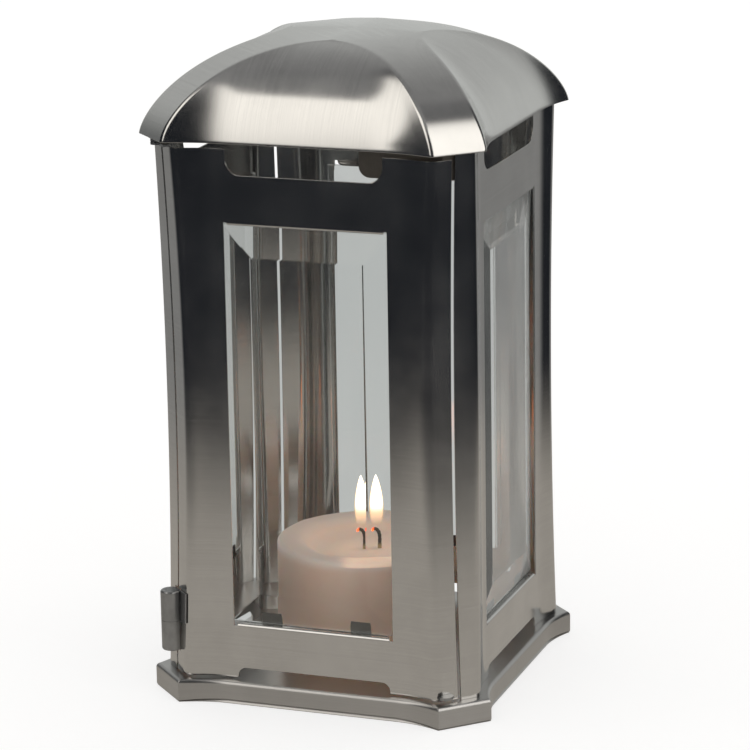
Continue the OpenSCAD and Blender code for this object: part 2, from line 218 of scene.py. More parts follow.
def brushed_steel(name, base, rough, spread, on_roof=False):
    """Brushed sheet: level lines, and reflections smeared upwards or, on the roof, round its axis."""
    made, tree = new_material(name)
    place, *_ = object_place(tree)
    if on_roof:
        grain = add_node(tree, "ShaderNodeAttribute", attribute_name="grain").outputs["Vector"]
        fine = stretched_noise(tree, grain, ROOF_LINES, 2.0)
        tangent = add_node(tree, "ShaderNodeTangent", direction_type="RADIAL", axis="Z")
    else:
        fine = stretched_noise(tree, place, SHEET_LINES, 2.0)
        tangent = add_node(tree, "ShaderNodeCombineXYZ", {2: 1.0})
    smudge = stretched_noise(tree, place, (34.0, 34.0, 26.0), 5.0, 0.62)
    bump = add_node(tree, "ShaderNodeBump", {
        "Strength": 0.05, "Distance": 0.00003, "Height": fine})
    dull = calc(tree, "ADD", ramp(tree, smudge, 0.3, 0.72, rough - 0.02, rough + 0.035),
                calc(tree, "MULTIPLY", calc(tree, "SUBTRACT", fine, 0.5), 0.03))
    dark = tuple(v * 0.87 for v in base)
    streak = calc(tree, "ADD", calc(tree, "MULTIPLY", fine, 0.45),
                  calc(tree, "MULTIPLY", smudge, 0.55))
    colour = mix_colour(tree, ramp(tree, streak, 0.34, 0.66), dark, base)
    shader = add_node(tree, "ShaderNodeBsdfPrincipled", {
        "Base Color": colour, "Metallic": 1.0, "Roughness": dull, "Anisotropic": spread,
        "Normal": bump, "Tangent": tangent})
    finish_material(tree, shader)
    return made


def dull_steel(name, base, rough, grit=0.18):
    """Plain sheet and tube, with a fine satin grain and darker patches of handling."""
    made, tree = new_material(name)
    where, *_ = object_place(tree)
    grain = stretched_noise(tree, where, (900.0, 900.0, 2400.0))
    patch = stretched_noise(tree, where, (90.0, 90.0, 60.0), 4.0)
    colour = mix_colour(tree, ramp(tree, patch, 0.35, 0.68),
                        [v * 0.78 for v in base], base)
    bump = add_node(tree, "ShaderNodeBump", {
        "Strength": grit, "Distance": 0.00006, "Height": grain})
    dull = ramp(tree, patch, 0.3, 0.7, rough + 0.06, rough - 0.04)
    shader = add_node(tree, "ShaderNodeBsdfPrincipled", {
        "Base Color": colour, "Metallic": 1.0, "Roughness": dull, "Normal": bump})
    finish_material(tree, shader)
    return made


def clear_glass(name):
    """Polished glass that lets soft light straight through, with a faint film of dust."""
    made, tree = new_material(name)
    where, *_ = object_place(tree)
    film = stretched_noise(tree, where, (70.0, 70.0, 45.0), 5.0, 0.65)
    rough = ramp(tree, film, 0.55, 0.8, 0.0, 0.02)
    facing = add_node(tree, "ShaderNodeLayerWeight", {"Blend": 0.5}).outputs["Facing"]
    dust = calc(tree, "MULTIPLY", calc(tree, "POWER", facing, 3.0),
                ramp(tree, film, 0.3, 0.7, 0.38, 0.52))
    glass = add_node(tree, "ShaderNodeBsdfPrincipled", {
        "Base Color": (0.985, 0.993, 0.988), "Roughness": rough, "IOR": 1.5,
        "Transmission Weight": 1.0})
    haze = add_node(tree, "ShaderNodeBsdfDiffuse", {"Color": (0.78, 0.80, 0.79)})
    glass = add_node(tree, "ShaderNodeMixShader", {0: dust, 1: glass, 2: haze})
    path = add_node(tree, "ShaderNodeLightPath")
    through = calc(tree, "MAXIMUM", path.outputs["Is Shadow Ray"], path.outputs["Is Diffuse Ray"])
    clear = add_node(tree, "ShaderNodeBsdfTransparent", {"Color": (0.9, 0.92, 0.91)})
    both = add_node(tree, "ShaderNodeMixShader", {0: through, 1: glass, 2: clear})
    finish_material(tree, both)
    return made


def candle_wax(name):
    """Translucent wax with a mottled skin, paler towards the foot as painted light, with a faint
    painted glow low on the body and a warm painted glow where the flame shines through the rim.
    """
    made, tree = new_material(name)
    where, across, out, height = object_place(tree)
    foot, head, pale = (0.95, 0.69, 0.55), (0.76, 0.52, 0.41), (0.95, 0.85, 0.75)
    hollow, shoulder = (0.78, 0.66, 0.60), (0.84, 0.70, 0.64)
    mottle = stretched_noise(tree, where, (55.0, 55.0, 40.0), 4.0, 0.6)
    pores = stretched_noise(tree, where, (900.0, 900.0, 900.0), 2.0)
    # Painted light: the body's colour is paler towards the foot, offsetting the shade low in the
    # lantern.
    body = mix_colour(tree, ramp(tree, height, 10 * MM, (CANDLE_HIGH - 14) * MM), foot, head)
    colour = mix_colour(tree, ramp(tree, mottle, 0.3, 0.7, 0.0, 0.16), body, pale)
    radius = calc(tree, "SQRT", calc(tree, "ADD", calc(tree, "MULTIPLY", across, across),
                                     calc(tree, "MULTIPLY", out, out)))
    pool = calc(tree, "MULTIPLY",
                ramp(tree, radius, (POOL_R - 2) * MM, (POOL_R + 1) * MM, 1.0, 0.0),
                ramp(tree, height, (CANDLE_HIGH - 10) * MM, (CANDLE_HIGH - 9) * MM))
    colour = mix_colour(tree, pool, colour, hollow)
    top = ramp(tree, height, (CANDLE_HIGH - 6) * MM, (CANDLE_HIGH - 1) * MM)
    colour = mix_colour(tree, top, colour, shoulder)
    # Painted glow: the wax near the front of the rim glows warm, standing in for the flame's light
    # shining through it.
    thin = add_node(tree, "ShaderNodeVectorMath", {0: where, 1: THIN_RIM}, operation="DISTANCE")
    near = ramp(tree, thin.outputs["Value"], 7 * MM, 14 * MM, 1.0, 0.0)
    rim = calc(tree, "MULTIPLY", ramp(tree, radius, POOL_R * MM, (POOL_R + 3.0) * MM),
               ramp(tree, height, (CANDLE_HIGH - 2.9) * MM, (CANDLE_HIGH - 2.3) * MM))
    lit = calc(tree, "MULTIPLY", calc(tree, "MULTIPLY", near, rim),
               ramp(tree, mottle, 0.3, 0.7, 0.22, 0.42))
    # Painted light: a faint glow low on the body, fading out upwards, lightens the shade there.
    glow = calc(tree, "ADD", lit,
                ramp(tree, height, 12 * MM, (CANDLE_HIGH - 16) * MM, 0.05, 0.0))
    bump = add_node(tree, "ShaderNodeBump", {
        "Strength": 0.15, "Distance": 0.0002,
        "Height": calc(tree, "ADD", mottle, calc(tree, "MULTIPLY", pores, 0.3))})
    shader = add_node(tree, "ShaderNodeBsdfPrincipled", {
        "Base Color": colour, "Roughness": ramp(tree, mottle, 0.3, 0.7, 0.42, 0.54),
        "Subsurface Weight": 0.6, "Subsurface Radius": (1.0, 0.5, 0.28),
        "Subsurface Scale": 0.006, "Emission Color": (1.0, 0.62, 0.36),
        "Emission Strength": glow, "Normal": bump})
    finish_material(tree, shader)
    return made


def burnt_wick(name):
    """Cotton that is waxy at its foot, charred above and glows at its tip."""
    made, tree = new_material(name)
    where, across, _, height = object_place(tree)
    waxy, black, ash = (0.55, 0.42, 0.20), (0.02, 0.015, 0.012), (0.1, 0.08, 0.06)
    strands = stretched_noise(tree, where, (2600.0, 2600.0, 900.0), 2.0)
    charred = ramp(tree, height, (WICK_LOW + 1.5) * MM, (WICK_LOW + 4.0) * MM)
    colour = mix_colour(tree, charred, waxy, black)
    colour = mix_colour(tree, calc(tree, "MULTIPLY", strands, 0.4), colour, ash)
    glow = ramp(tree, across, -1.9 * MM, -3.0 * MM, 0.0, 2.5)
    bump = add_node(tree, "ShaderNodeBump", {
        "Strength": 0.6, "Distance": 0.0003, "Height": strands})
    shader = add_node(tree, "ShaderNodeBsdfPrincipled", {
        "Base Color": colour, "Roughness": 0.85, "Emission Color": (1.0, 0.12, 0.02),
        "Emission Strength": glow, "Normal": bump})
    finish_material(tree, shader)
    return made


def candle_flame(name, low, high):
    """Glowing gas: white inside, orange at its skin and foot, fading out at the very foot."""
    made, tree = new_material(name)
    foot, inside, rim, in_mirror = ((1.0, 0.62, 0.37), (1.0, 0.93, 0.80),
                                    (1.0, 0.72, 0.42), (1.0, 0.30, 0.10))
    *_, height = object_place(tree)
    facing = add_node(tree, "ShaderNodeLayerWeight", {"Blend": 0.5}).outputs["Facing"]
    bounces = add_node(tree, "ShaderNodeLightPath").outputs["Glossy Depth"]
    mirrored = calc(tree, "GREATER_THAN", bounces, 0.5)
    up = ramp(tree, height, low * MM, high * MM)
    skin = ramp(tree, facing, 0.20, 0.85)
    warm = mix_colour(tree, ramp(tree, up, 0.22, 0.50), foot, inside)
    colour = mix_colour(tree, skin, warm, rim)
    # Painted reflection: where the flame is seen in the steel, it is given the deeper orange in_mirror
    # colour.
    colour = mix_colour(tree, mirrored, colour, in_mirror)
    strength = calc(tree, "MULTIPLY", ramp(tree, up, 0.20, 0.60, 1.30, 2.6),
                    ramp(tree, skin, 0.0, 1.0, 1.0, 0.50))
    glow = add_node(tree, "ShaderNodeEmission", {"Color": colour, "Strength": strength})
    clear = add_node(tree, "ShaderNodeBsdfTransparent")
    thin = calc(tree, "MAXIMUM", ramp(tree, up, 0.0, 0.28, 1.0, 0.0),
                ramp(tree, facing, 0.66, 1.0))
    both = add_node(tree, "ShaderNodeMixShader", {0: thin, 1: glow, 2: clear})
    finish_material(tree, both)
    return made


STEEL = (0.69, 0.68, 0.665)
TRAY = (0.54, 0.53, 0.52)
FITTING = (0.41, 0.413, 0.415)
PAN = (0.50, 0.47, 0.44)
CLIP = (0.17, 0.165, 0.155)
STOP = (0.25, 0.225, 0.195)
SHEET_LINES = (9.0, 9.0, 6000.0)             # how finely brushed, each way, per metre
ROOF_LINES = (3000.0, 12.0, 1.0)             # and on the roof, in its brush coordinates

sheet_steel = brushed_steel("brushed_sheet", STEEL, 0.125, 0.7)
roof_steel = brushed_steel("brushed_roof", STEEL, 0.17, 0.5, on_roof=True)
tray_steel = brushed_steel("brushed_tray", TRAY, 0.31, 0.4)
fitting_steel = dull_steel("fitting_steel", FITTING, 0.36)
pan_steel = dull_steel("pan_steel", PAN, 0.30, 0.05)
clip_steel = dull_steel("clip_steel", CLIP, 0.45)
stop_steel = dull_steel("stop_steel", STOP, 0.42)
glass = clear_glass("pane_glass")
wax = candle_wax("pillar_wax")
cotton = burnt_wick("burnt_cotton")
burning = candle_flame("burning_gas", FLAME_LOW, FLAME_HIGH)


# ---------------------------------------------------------------- mesh pieces

def new_piece(name, points, faces, material, body, stands_for=(), sharp=30.0):
    """A mesh piece from points in mm, riding on a body and standing for CAD nodes."""
    mesh = bpy.data.meshes.new(name)
    mesh.from_pydata([Vector(p) * MM for p in points], [], faces)
    mesh.polygons.foreach_set("use_smooth", [sharp > 0] * len(mesh.polygons))
    if sharp > 0:
        mesh.set_sharp_from_angle(angle=math.radians(sharp))
    mesh.materials.append(material)
    made = bpy.data.objects.new(name, mesh)
    bpy.context.scene.collection.objects.link(made)
    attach(made, body)
    if stands_for:
        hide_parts(*stands_for)
    return made


def add_grain(piece, values):
    """Keeps brush coordinates, across and along the lines, in metres, on each point."""
    grain = piece.data.attributes.new("grain", "FLOAT_VECTOR", "POINT")
    grain.data.foreach_set("vector", [v * MM for p in values for v in (p[0], p[1], 0.0)])


def bevel_edges(piece, width, segments, angle):
    """Takes the edges off where faces meet at more than the angle."""
    bevel = piece.modifiers.new("edges", "BEVEL")
    bevel.width = width * MM
    bevel.segments = segments
    bevel.limit_method = "ANGLE"
    bevel.angle_limit = math.radians(angle)


def soften(piece, width, segments, angle):
    """Small rounds along a piece's edges."""
    bevel_edges(piece, width, segments, angle)
    weighted = piece.modifiers.new("normals", "WEIGHTED_NORMAL")
    weighted.keep_sharp = True


def thicken(piece, sheet):
    """Gives a sheet its thickness, behind the surface that was drawn."""
    solid = piece.modifiers.new("sheet", "SOLIDIFY")
    solid.thickness = sheet * MM
    solid.offset = -1.0
    solid.use_even_offset = True


def turned(points, degrees):
    """The points turned about the lantern's upright axis."""
    matrix = Matrix.Rotation(math.radians(degrees), 3, "Z")
    return [matrix @ Vector(p) for p in points]


def rows_of_faces(rows, count, wrap=True, flip=False):
    """Four-sided faces between rows of count points each."""
    last = count if wrap else count - 1
    faces = []
    for j in range(rows - 1):
        for i in range(last):
            k = (i + 1) % count
            face = (j * count + i, j * count + k, (j + 1) * count + k, (j + 1) * count + i)
            faces.append(face[::-1] if flip else face)
    return faces


def closed_rows(rows, count):
    """The same for rings of points, with the first and the last ring filled."""
    last = (rows - 1) * count
    ends = [tuple(reversed(range(count))), tuple(range(last, last + count))]
    return rows_of_faces(rows, count) + ends


def lathe(profile, steps, centre=(0.0, 0.0)):
    """Rings of points of a profile of (radius, z) turned about an upright axis."""
    points = []
    for radius, z in profile:
        for i in range(steps):
            a = 2 * math.pi * i / steps
            points.append((centre[0] + radius * math.cos(a), centre[1] + radius * math.sin(a), z))
    return points


def arc(cx, cz, radius, start, end, steps):
    """Points (x, z) on an arc, from start to end in degrees."""
    made = []
    for i in range(steps + 1):
        a = math.radians(start + (end - start) * i / steps)
        made.append((cx + radius * math.cos(a), cz + radius * math.sin(a)))
    return made


def bent(start, corner, end, steps):
    """Points on a soft bend round a corner, from start to end."""
    made = []
    for i in range(steps + 1):
        t = i / steps
        made.append(start * (1 - t) ** 2 + corner * 2 * t * (1 - t) + end * t ** 2)
    return made


# ---------------------------------------------------------------- tray

def side_points(inset, steps=12):
    """One side of the tray's outline facing -Y, from its left corner to its right one."""
    corner = CORNER_HALF - inset * (ROOT2 - 1)
    mid, out = SIDE_HALF - inset, OUTLINE_HALF - inset
    half = []
    for i in range(steps + 1):
        x = corner - (corner - STRAIGHT_HALF) * i / steps
        sweep = ((x - STRAIGHT_HALF) / (corner - STRAIGHT_HALF)) ** 2
        half.append((x, -(mid + (out - mid) * sweep)))
    return [(-x, y) for x, y in half] + [(x, y) for x, y in reversed(half)]


def tray_ring(inset, height):
    """Whole outline, moved inwards, at the height that the function gives for a place on a side."""
    ring = []
    for quarter in range(4):
        side = [(x, y, height(x)) for x, y in side_points(inset)]
        ring += turned(side, 90 * quarter)
    return ring


def arched(x):
    """Height of the tray wall's lower edge."""
    return TRAY_LIFT + TRAY_ARCH * max(0.0, 1 - (abs(x) / CORNER_HALF) ** 2)


def make_tray():
    rim_steps = 8
    rings = [tray_ring(TRAY_SHEET, lambda x: TRAY_TOP - TRAY_SHEET),
             tray_ring(TRAY_SHEET, arched), tray_ring(0.0, arched)]
    for i in range(rim_steps + 1):
        a = math.radians(90 * i / rim_steps)
        z = TRAY_TOP - TRAY_ROUND * (1 - math.sin(a))
        rings.append(tray_ring(TRAY_ROUND * (1 - math.cos(a)), lambda x, z=z: z))
    points = [p for ring in rings for p in ring]
    faces = closed_rows(len(rings), len(rings[0]))
    tray = new_piece("tray_cover", points, faces, tray_steel, "frame", ["base_tray"])
    soften(tray, 0.25, 2, 20.0)


def make_pan():
    """Closing pan, whose rolled rim shows as a bright strip under the arched edge of the wall."""
    outer = TRAY_SHEET + PAN_GAP
    inner = outer + TRAY_SHEET
    toe, foot, chamfer, clear, slope_steps = 0.3, 0.3, 0.1, 0.1, 4
    rings = [tray_ring(toe + chamfer, lambda x: 0.0)]
    for i in range(slope_steps + 1):
        t = i / slope_steps
        rings.append(tray_ring(toe + (outer - toe) * t ** 1.2,
                               lambda x, t=t: foot + (arched(x) - clear - foot) * t))
    rolled = (len(rings) - 1) * len(rings[0])
    for inset, z in ((outer, PAN_RIM), (inner, PAN_RIM), (inner, TRAY_SHEET)):
        rings.append(tray_ring(inset, lambda x, z=z: z))
    points = [p for ring in rings for p in ring]
    faces = closed_rows(len(rings), len(rings[0]))
    pan = new_piece("pan_sheet", points, faces, pan_steel, "frame", ["bottom_pan"])
    pan.data.materials.append(tray_steel)
    for face in list(pan.data.polygons)[:rolled]:
        face.material_index = 1


# ---------------------------------------------------------------- panels

def flare(z):
    return ((z - WAIST) / FLARE_REACH) ** 2


def fold_x(z):
    return FOLD_SIDE + FLARE_SIDE * flare(z)


def fold_y(z):
    return FOLD_HALF + FLARE_OUT * flare(z)


def flange_s(z):
    """Distance of the flanges' outer faces from the axis, along the diagonal."""
    return (fold_x(z) + fold_y(z)) / ROOT2


HINGE_S = HINGE_AXIS.length
# from the diagonal to the edge of the notch that the barrel needs in the flange
NOTCH_D = math.sqrt(BARREL_ROOM ** 2 - (HINGE_S - flange_s(BARREL_MIDDLE)) ** 2)
# where the columns of a panel's mesh stand on its flat middle, with one at the edges of each cut
ARC_X = [VENT_HALF - TOP_VENT_ROUND, VENT_HALF - 5.5] + [
    VENT_HALF - LOW_VENT_ROUND + LOW_VENT_ROUND * math.sin(math.radians(18 * k)) for k in range(6)]
FLAT_X = [0.0, 10.0, 20.0] + ARC_X + [WINDOW_HALF, 38.8, STRAIGHT_HALF]


def top_vent_edge(x):
    """Lower edge of the upper vent at distance x from the middle."""
    from_arc = max(0.0, abs(x) - (VENT_HALF - TOP_VENT_ROUND))
    rest = math.sqrt(max(0.0, TOP_VENT_ROUND ** 2 - from_arc ** 2))
    return TOP_VENT_LOW + TOP_VENT_ROUND - rest


def low_vent_edge(x):
    """Upper edge of the lower vent at distance x from the middle."""
    from_arc = max(0.0, abs(x) - (VENT_HALF - LOW_VENT_ROUND))
    rest = math.sqrt(max(0.0, LOW_VENT_ROUND ** 2 - from_arc ** 2))
    return LOW_VENT_HIGH - LOW_VENT_ROUND + rest


def half_line(z):
    """Right half of a panel in plan at height z: flat middle, swept wing, rounded fold, flange."""
    q, p = fold_x(z), fold_y(z)
    wing_steps, round_steps = 9, 7

    def wing(x):
        share = (x - STRAIGHT_HALF) / (q - STRAIGHT_HALF)
        return x, -(PANEL_HALF + (p - PANEL_HALF) * share ** 2)

    line = [(x, -PANEL_HALF) for x in FLAT_X]
    for i in range(1, wing_steps):
        line.append(wing(STRAIGHT_HALF + (q - FOLD_ROUND - STRAIGHT_HALF) * i / wing_steps))
    start, corner = Vector(wing(q - FOLD_ROUND)), Vector((q, -p))
    end = corner + Vector((1, 1)).normalized() * FOLD_ROUND
    line += [(at.x, at.y) for at in bent(start, corner, end, round_steps)]
    middle = (p + q) / 2
    for distance in (NOTCH_D, SLIT / 2):
        g = distance / ROOT2
        line.append((middle - g, -(middle + g)))
    return line


def panel_rows(low, high, extra):
    """Heights of the rows of a panel's mesh, with one at each edge of a cut."""
    cuts = [low, high, WINDOW_LOW - LIP_BEND, WINDOW_HIGH + LIP_BEND, *extra]
    cuts += [top_vent_edge(x) for x in ARC_X] + [low_vent_edge(x) for x in ARC_X]
    cuts = sorted({round(z, 4) for z in cuts if low <= z <= high})
    rows, widest = [], 7.0
    for a, b in zip(cuts, cuts[1:]):
        n = max(1, math.ceil((b - a) / widest))
        rows += [a + (b - a) * i / n for i in range(n)]
    return rows + [high]


def cell(x0, x1, z0, z1):
    """What is left of the cell from x0 to x1 and z0 to z1: "whole", "gone", or the corner cut off."""
    near, far = sorted((abs(x0), abs(x1)))
    middle_z = (z0 + z1) / 2
    if far <= WINDOW_HALF + TINY and WINDOW_LOW - LIP_BEND < middle_z < WINDOW_HIGH + LIP_BEND:
        return "gone"
    if far <= VENT_HALF + TINY and middle_z > TOP_VENT_LOW:
        if z0 >= top_vent_edge(far) - TINY or far <= ARC_X[0] + TINY:
            return "gone"
        if z1 > top_vent_edge(near) + TINY:
            return "top"
    if far <= VENT_HALF + TINY and middle_z < LOW_VENT_HIGH:
        if z1 <= low_vent_edge(far) + TINY or far <= VENT_HALF - LOW_VENT_ROUND + TINY:
            return "gone"
        if z0 < low_vent_edge(near) - TINY:
            return "low"
    return "whole"


def panel_mesh(low, high, tab_high, notch_side):
    """Outer skin of one panel that faces -Y, with its windows, vents and bent lips."""
    room = (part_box("hinge_frame_knuckle")[0].z / MM - NOTCH_END,
            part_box("hinge_door_knuckle")[1].z / MM + NOTCH_END)
    top = tab_high or high
    rows = panel_rows(low, top, [high, *(room if notch_side else ())])
    points, columns = [], 0
    for z in rows:
        half = half_line(z)
        line = [(-x, y) for x, y in reversed(half[1:])] + half
        columns = len(line)
        points += [(x, y, z) for x, y in line]
    flat = len(FLAT_X) - 1
    centre = columns // 2
    faces = []
    for j in range(len(rows) - 1):
        z0, z1 = rows[j], rows[j + 1]
        for i in range(columns - 1):
            a, b = j * columns + i, j * columns + i + 1
            c, d = b + columns, a + columns
            x0, x1 = points[a][0], points[b][0]
            if tab_high and z0 >= high - TINY and min(abs(x0), abs(x1)) < TAB_FROM:
                continue
            at_end = i == 0 if notch_side < 0 else i == columns - 2
            if notch_side and at_end and room[0] - TINY <= z0 < room[1] - TINY:
                continue
            on_flat = abs(i + 0.5 - centre) < flat
            state = cell(x0, x1, z0, z1) if on_flat else "whole"
            right = x0 >= 0
            if state == "whole":
                faces.append((a, b, c, d))
            elif state == "top":
                faces.append((a, b, c) if right else (a, b, d))
            elif state == "low":
                faces.append((b, c, d) if right else (a, c, d))
    add_lips(points, faces, rows, columns, centre)
    return points, faces


def add_lips(points, faces, rows, columns, centre):
    """Lips that bend inwards from the sheet at the sill and the head."""
    reach = FLAT_X.index(ARC_X[-1])
    bend_steps, flat_steps = 6, 3
    for edge, sign in ((WINDOW_LOW, 1), (WINDOW_HIGH, -1)):
        z_from = edge - sign * LIP_BEND
        j = min(range(len(rows)), key=lambda k: abs(rows[k] - z_from))
        previous = [j * columns + i for i in range(centre - reach, centre + reach + 1)]
        places = [points[i][0] for i in previous]
        stations = []
        for k in range(1, bend_steps + 1):
            a = math.radians(90 * k / bend_steps)
            stations.append((LIP_BEND * (1 - math.cos(a)), z_from + sign * LIP_BEND * math.sin(a)))
        for k in range(1, flat_steps + 1):
            stations.append((LIP_BEND + (LIP_DEPTH - LIP_BEND) * k / flat_steps, edge))
        for depth, z in stations:
            narrow = 1 - LIP_TAPER / WINDOW_HALF * (depth / LIP_DEPTH) ** 1.5
            current = list(range(len(points), len(points) + len(places)))
            points += [(x * narrow, -PANEL_HALF + depth, z) for x in places]
            for i in range(2 * reach):
                face = (previous[i], previous[i + 1], current[i + 1], current[i])
                faces.append(face if sign > 0 else face[::-1])
            previous = current


def make_panel(name, node, degrees, body, low, high, tab_high=None, notch_side=0):
    points, faces = panel_mesh(low, high, tab_high, notch_side)
    used = sorted({i for f in faces for i in f})
    renumber = {old: new for new, old in enumerate(used)}
    points = turned([points[i] for i in used], degrees)
    faces = [tuple(renumber[i] for i in f) for f in faces]
    panel = new_piece(name, points, faces, sheet_steel, body, [node], 25.0)
    thicken(panel, PANEL_SHEET)
    soften(panel, 0.12, 1, 50.0)


def make_panels():
    fixed = ("frame", PANEL_LOW, PANEL_HIGH, TAB_HIGH)
    make_panel("door_sheet", "front_door", 0, "door", DOOR_LOW, DOOR_HIGH, notch_side=-1)
    make_panel("right_sheet", "right_panel", 90, *fixed)
    make_panel("back_sheet", "back_panel", 180, *fixed)
    make_panel("left_sheet", "left_panel", -90, *fixed, notch_side=1)


# ---------------------------------------------------------------- glass

SIDES = (("door", 0, "door"), ("right", 90, "frame"), ("back", 180, "frame"), ("left", -90, "frame"))


def make_pane(name, node, degrees, body):
    """Bevelled pane with small flats ground along its edges."""
    low, high = (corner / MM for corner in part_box("door_pane"))
    outer, inner = low.y, high.y
    edge = outer + BEVEL_DROP

    def frame_at(inset, y):
        return [(low.x + inset, y, low.z + inset), (high.x - inset, y, low.z + inset),
                (high.x - inset, y, high.z - inset), (low.x + inset, y, high.z - inset)]

    points = frame_at(0, inner) + frame_at(0, edge) + frame_at(BEVEL_W, outer)
    faces = rows_of_faces(3, 4, flip=True) + [(0, 1, 2, 3), (11, 10, 9, 8)]
    faces = [f[::-1] for f in faces]
    pane = new_piece(name, turned(points, degrees), faces, glass, body, [node], 0)
    bevel_edges(pane, PANE_EDGE, 1, 4.0)


def make_panes():
    for side, degrees, body in SIDES:
        make_pane(side + "_glass", side + "_pane", degrees, body)


def make_clips(name, node, degrees, body):
    """Two bent tabs on the sill lip, behind the pane."""
    low, high = (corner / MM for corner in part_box("door_pane_clips"))
    clip_w, clip_t, bend = 9.5, 0.8, 1.2
    clip_h = high.z - low.z
    stations = [(1.1, 0.0)]
    for a in (0, 30, 60, 90):
        turn = math.radians(a)
        stations.append((min(bend * (1 - math.sin(turn)), clip_t + 0.2),
                         bend * (1 - math.cos(turn))))
    stations += [(0.05, clip_h * 0.6), (0.0, clip_h)]
    points, faces = [], []
    for side in (-1, 1):
        start = len(points)
        for y, h in stations:
            tip = 0.35 if h >= clip_h else 0.0
            for x in (high.x - clip_w + tip, high.x - clip_w / 2, high.x - tip):
                points.append((side * x, low.y + y, low.z + h))
        faces += [tuple(start + i for i in f)
                  for f in rows_of_faces(len(stations), 3, False, side < 0)]
    clips = new_piece(name, turned(points, degrees), faces, clip_steel, body,
                      [node], 40.0)
    thicken(clips, clip_t * 0.8)
    soften(clips, 0.12, 2, 40.0)


def make_all_clips():
    for side, degrees, body in SIDES:
        make_clips(side + "_glass_clips", side + "_pane_clips", degrees, body)


# ---------------------------------------------------------------- hinge

def make_knuckle(name, node, body, side, outer_end):
    """One knuckle of the barrel with its leaf; outer_end is 1 at its top or -1 at its foot."""
    low, high = (corner.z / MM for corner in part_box(node))
    low, high = (low - JOINT_CLOSE, high) if outer_end > 0 else (low, high + JOINT_CLOSE)
    soft, crisp, steps = 0.9, 0.08, 64
    foot, head = (crisp, soft) if outer_end > 0 else (soft, crisp)
    profile = [(PIN_BORE, low)]
    profile += arc(BARREL_R - foot, low + foot, foot, -90, 0, 5)
    profile += arc(BARREL_R - head, high - head, head, 0, 90, 5)
    profile += [(PIN_BORE, high)]
    centre = (HINGE_AXIS.x, HINGE_AXIS.y)
    points, faces = lathe(profile, steps, centre), rows_of_faces(len(profile), steps)
    last = (len(profile) - 1) * steps
    faces += [(last + i, last + (i + 1) % steps, (i + 1) % steps, i) for i in range(steps)]
    out = Vector((-1, -1, 0)).normalized()
    across = Vector((1, -1, 0)).normalized() * side
    start = len(points)
    base = Vector((*centre, 0))
    for z in (low, high):
        under = flange_s(z) - HINGE_S + 0.1
        over = under + LEAF_T
        for d, w in ((under, LEAF_FROM), (under, LEAF_TO), (over, LEAF_TO), (over, LEAF_FROM)):
            points.append(base + out * d + across * w + Vector((0, 0, z)))
    box = [(0, 1, 2, 3), (7, 6, 5, 4), (0, 4, 5, 1), (1, 5, 6, 2), (2, 6, 7, 3), (3, 7, 4, 0)]
    faces += [tuple(start + i for i in (f if side < 0 else f[::-1])) for f in box]
    knuckle = new_piece(name, points, faces, fitting_steel, body, [node], 40.0)
    soften(knuckle, 0.15, 2, 60.0)


def make_stop():
    """Strip behind the door's upper vent and across the slit, with a rounded free corner."""
    low, high = (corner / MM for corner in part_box("door_stop"))
    y, s = -(PANEL_HALF - PANEL_SHEET - STOP_GAP), flange_s(low.z) - PANEL_SHEET - STOP_GAP
    bend = Vector((s * ROOT2 + y, y))
    end = Vector((s / ROOT2 + 2 * SLIT, 2 * SLIT - s / ROOT2))
    onwards = (end - bend).normalized()
    free_round, bend_round, steps, bend_steps = 5.0, 1.2, 10, 4
    line, foot = [], []
    for i in range(steps + 1):
        a = math.radians(90 * i / steps)
        line.append(Vector((low.x + free_round * (1 - math.cos(a)), y)))
        foot.append(low.z + free_round * (1 - math.sin(a)))
    before, after = bend - Vector((bend_round, 0)), bend + onwards * bend_round
    line += [*bent(before, bend, after, bend_steps), end]
    foot += [low.z] * (bend_steps + 2)
    points = [(p.x, p.y, z) for p, z in zip(line, foot)] + [(p.x, p.y, high.z) for p in line]
    stop = new_piece("door_stop_strip", points, rows_of_faces(2, len(line), False), stop_steel,
                     "frame", ["door_stop"], 40.0)
    thicken(stop, STOP_T)
    soften(stop, 0.15, 2, 40.0)


# ---------------------------------------------------------------- roof

EAVE_S = (OUTLINE_HALF + CORNER_HALF) / ROOT2
CROWN_C = FACE_TOP_W / 2


def hip_h(s):
    """Height of a hip above the eave at distance s along the diagonal."""
    return ROOF_RISE * max(0.0, 1 - (s / EAVE_S) ** ROOF_FULL) ** (1 / ROOF_CROWN)


def hip_slope(s):
    step = 0.25
    return (hip_h(s) - hip_h(s - step)) / step


def crease_out(c):
    """Distance from the axis of a side face's creases, where they are c from the middle line."""
    return math.sqrt(FACE_TOP_HALF ** 2
                     + (OUTLINE_HALF ** 2 - FACE_TOP_HALF ** 2) * (c / CORNER_HALF) ** 2)


def face_inset(f):
    """Set-in of a side face between its creases, from its top (f = 0) to the eave (f = 1)."""
    return f * f * (OUTLINE_HALF - SIDE_HALF + INSET_PEAK * FACE_INSET_EXTRA * (1 - f))


def roof_ring(c, out, z, inset, steps=14, round_steps=6):
    """One ring of the roof, with its faces set in between the hips and its creases rounded."""
    def face_point(w):
        sweep = (max(0.0, w - FACE_FLAT) / (1 - FACE_FLAT)) ** 2
        return Vector((w * c, -(out - inset * (1 - sweep)), z))

    reach = min(CREASE_ROUND, 0.3 * c)
    start_w = 1 - reach / c
    half = [face_point(start_w * (1 - i / steps)) for i in range(steps, -1, -1)]
    corner, end = face_point(1.0), face_point(1.0) + Vector((1, 1, 0)).normalized() * reach
    half += bent(half[-1], corner, end, round_steps)[1:]
    side = [Vector((-p.x, p.y, p.z)) for p in reversed(half[1:])] + half
    ring = []
    for quarter in range(4):
        ring += turned(side, 90 * quarter)
    return ring


CROWN_S = (CROWN_C + crease_out(CROWN_C)) / ROOT2
CROWN_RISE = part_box("roof")[1].z / MM - EAVE - hip_h(CROWN_S)


def crown_z(f):
    return EAVE + hip_h(CROWN_S) + CROWN_RISE * (1 - f * f)


